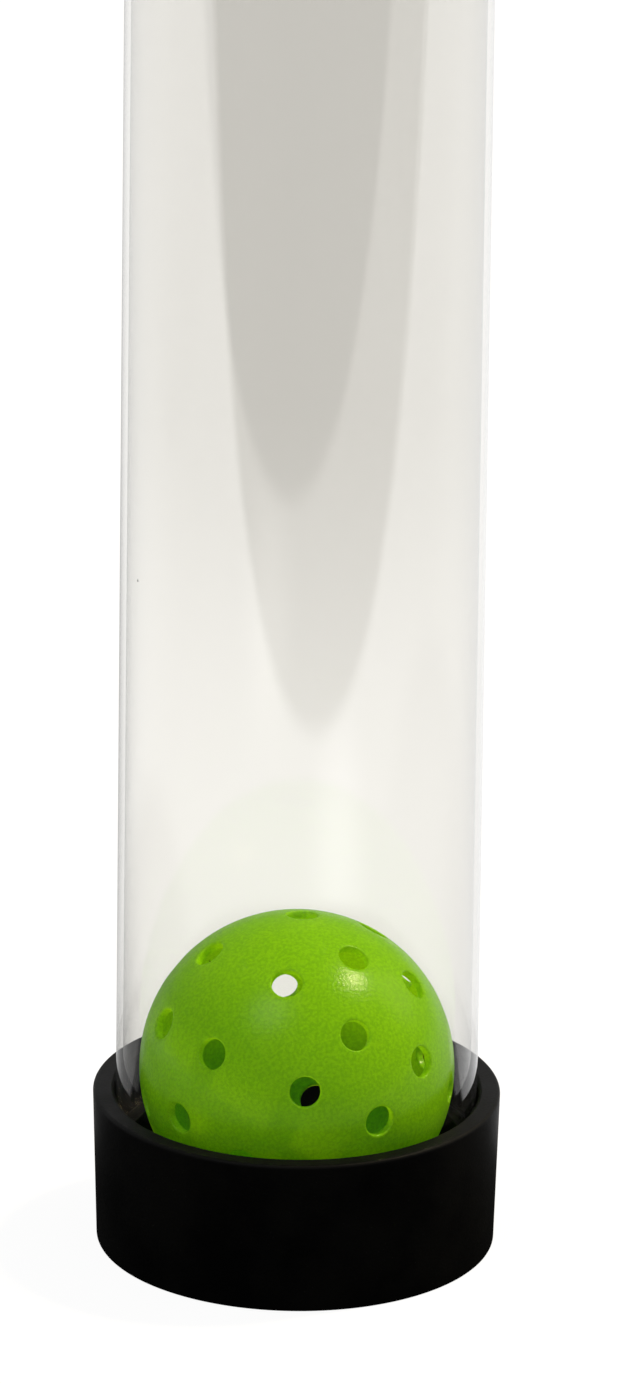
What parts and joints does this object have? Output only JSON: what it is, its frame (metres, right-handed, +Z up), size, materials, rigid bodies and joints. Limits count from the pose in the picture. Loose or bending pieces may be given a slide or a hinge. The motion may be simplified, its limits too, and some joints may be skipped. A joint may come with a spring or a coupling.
{
  "type": "ball pickup tube",
  "caption": "Clear upright tube that picks up and stores perforated balls: black pickup collar with inner fingers below, hinged lid with a folding carry handle on top.",
  "frame": {"origin": "centre of the pickup collar's foot, on the ground and on the tube's axis", "axes": "+Z up the tube's axis, +Y towards the lid's hinge, +X to the right as seen from the thumb tab"},
  "size_m": [0.097, 0.1086, 0.9464],
  "materials": {
    "clear_plastic": "clear gloss",
    "black_rubber": "matte",
    "black_plastic": "satin",
    "finger_plastic": "satin",
    "ball_plastic": "satin",
    "rivet_steel": "satin",
    "pin_steel": "satin",
    "grip_foam": "matte foam"
  },
  "bodies": {
    "tube": {"clear_tube": "clear_plastic", "pickup_collar": "black_rubber", "retainer_ring": "black_plastic", "top_collar": "black_plastic", "lid_hinge_pin": "pin_steel", "collar_rivet_1": "rivet_steel", "collar_rivet_2": "rivet_steel", "collar_rivet_3": "rivet_steel", "collar_rivet_4": "rivet_steel"},
    "ball": {"pickleball": "ball_plastic"},
    "finger_1": {"retainer_finger_1": "finger_plastic"},
    "finger_2": {"retainer_finger_2": "finger_plastic"},
    "finger_3": {"retainer_finger_3": "finger_plastic"},
    "finger_4": {"retainer_finger_4": "finger_plastic"},
    "finger_5": {"retainer_finger_5": "finger_plastic"},
    "finger_6": {"retainer_finger_6": "finger_plastic"},
    "finger_7": {"retainer_finger_7": "finger_plastic"},
    "finger_8": {"retainer_finger_8": "finger_plastic"},
    "lid": {"lid": "black_plastic", "handle_pin_right": "pin_steel", "handle_pin_left": "pin_steel"},
    "handle": {"carry_handle": "black_plastic", "handle_grip": "grip_foam"}
  },
  "joints": [
    {"name": "ball_travel", "type": "slide", "parent": "tube", "child": "ball", "axis": [0, 0, 1], "range_m": [0, 0.8525]},
    {"name": "lid_hinge", "type": "hinge", "parent": "tube", "child": "lid", "pos_m": [0, 0.0507, 0.9341], "axis": [-1, 0, 0], "range_deg": [0, 115]},
    {"name": "handle_swing", "type": "hinge", "parent": "lid", "child": "handle", "pos_m": [0, 0, 0.94115], "axis": [-1, 0, 0], "range_deg": [0, 180]},
    {"name": "finger_1_flex", "type": "hinge", "parent": "tube", "child": "finger_1", "pos_m": [0.0406, 0, 0.0052], "axis": [0, 1, 0], "range_deg": [0, 40], "stiffness_Nm_per_rad": 0.05},
    {"name": "finger_2_flex", "type": "hinge", "parent": "tube", "child": "finger_2", "pos_m": [0.02871, 0.02871, 0.0052], "axis": [-0.7071, 0.7071, 0], "range_deg": [0, 40], "stiffness_Nm_per_rad": 0.05},
    {"name": "finger_3_flex", "type": "hinge", "parent": "tube", "child": "finger_3", "pos_m": [0, 0.0406, 0.0052], "axis": [-1, 0, 0], "range_deg": [0, 40], "stiffness_Nm_per_rad": 0.05},
    {"name": "finger_4_flex", "type": "hinge", "parent": "tube", "child": "finger_4", "pos_m": [-0.02871, 0.02871, 0.0052], "axis": [-0.7071, -0.7071, 0], "range_deg": [0, 40], "stiffness_Nm_per_rad": 0.05},
    {"name": "finger_5_flex", "type": "hinge", "parent": "tube", "child": "finger_5", "pos_m": [-0.0406, 0, 0.0052], "axis": [0, -1, 0], "range_deg": [0, 40], "stiffness_Nm_per_rad": 0.05},
    {"name": "finger_6_flex", "type": "hinge", "parent": "tube", "child": "finger_6", "pos_m": [-0.02871, -0.02871, 0.0052], "axis": [0.7071, -0.7071, 0], "range_deg": [0, 40], "stiffness_Nm_per_rad": 0.05},
    {"name": "finger_7_flex", "type": "hinge", "parent": "tube", "child": "finger_7", "pos_m": [0, -0.0406, 0.0052], "axis": [1, 0, 0], "range_deg": [0, 40], "stiffness_Nm_per_rad": 0.05},
    {"name": "finger_8_flex", "type": "hinge", "parent": "tube", "child": "finger_8", "pos_m": [0.02871, -0.02871, 0.0052], "axis": [0.7071, 0.7071, 0], "range_deg": [0, 40], "stiffness_Nm_per_rad": 0.05}
  ],
  "couplings": [
    {"joint": "finger_2_flex", "follows": "finger_1_flex", "ratio": 1},
    {"joint": "finger_3_flex", "follows": "finger_1_flex", "ratio": 1},
    {"joint": "finger_4_flex", "follows": "finger_1_flex", "ratio": 1},
    {"joint": "finger_5_flex", "follows": "finger_1_flex", "ratio": 1},
    {"joint": "finger_6_flex", "follows": "finger_1_flex", "ratio": 1},
    {"joint": "finger_7_flex", "follows": "finger_1_flex", "ratio": 1},
    {"joint": "finger_8_flex", "follows": "finger_1_flex", "ratio": 1}
  ]
}
